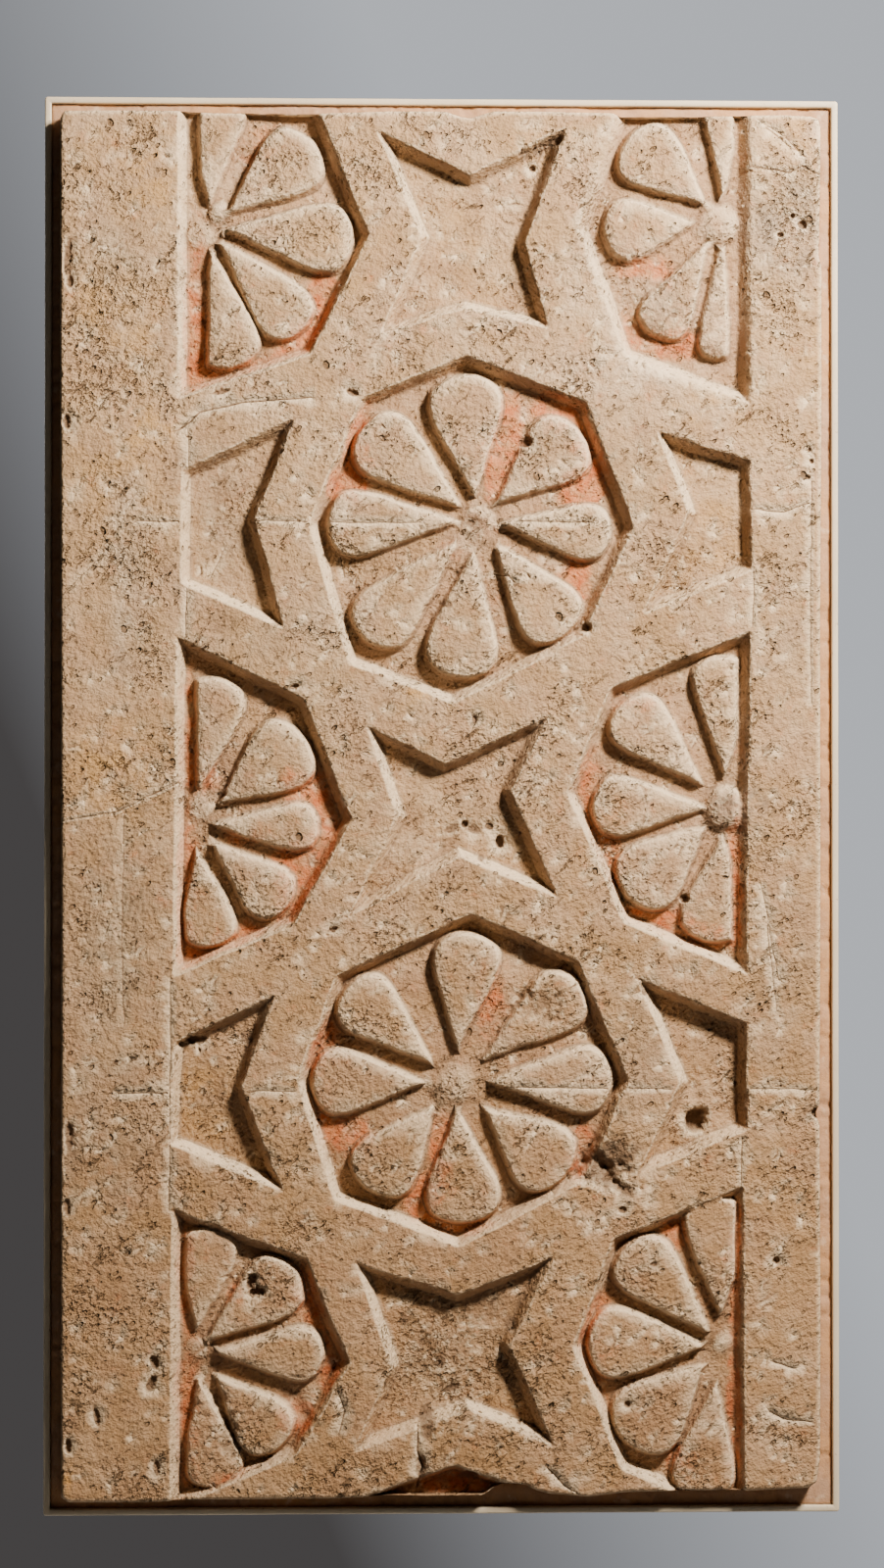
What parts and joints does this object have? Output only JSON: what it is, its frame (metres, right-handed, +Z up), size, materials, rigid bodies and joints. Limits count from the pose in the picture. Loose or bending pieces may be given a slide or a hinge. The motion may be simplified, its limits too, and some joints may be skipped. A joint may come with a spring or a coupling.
{
  "type": "frieze fragment",
  "caption": "Carved plaster frieze fragment with octagons, rosettes and four-pointed stars between plain margins, bedded in mortar in a shallow painted wall tray.",
  "frame": {"origin": "centre of the tray's flat back, where it lies on the wall", "axes": "+X right seen from the front, +Y into the wall, +Z up; the carved face looks along -Y"},
  "size_m": [0.5, 0.052, 0.89],
  "materials": {
    "carved_plaster": "warm beige gypsum plaster, dry and matt, pitted, with remains of orange-red pigment in the octagons",
    "setting_mortar": "orange-brown mortar, matt and slightly cracked",
    "cream_paint": "cream paint, eggshell, on thin boards"
  },
  "bodies": {
    "root": {"frieze_slab": "carved_plaster", "setting_bed": "setting_mortar", "mount_tray": "cream_paint"}
  },
  "joints": []
}
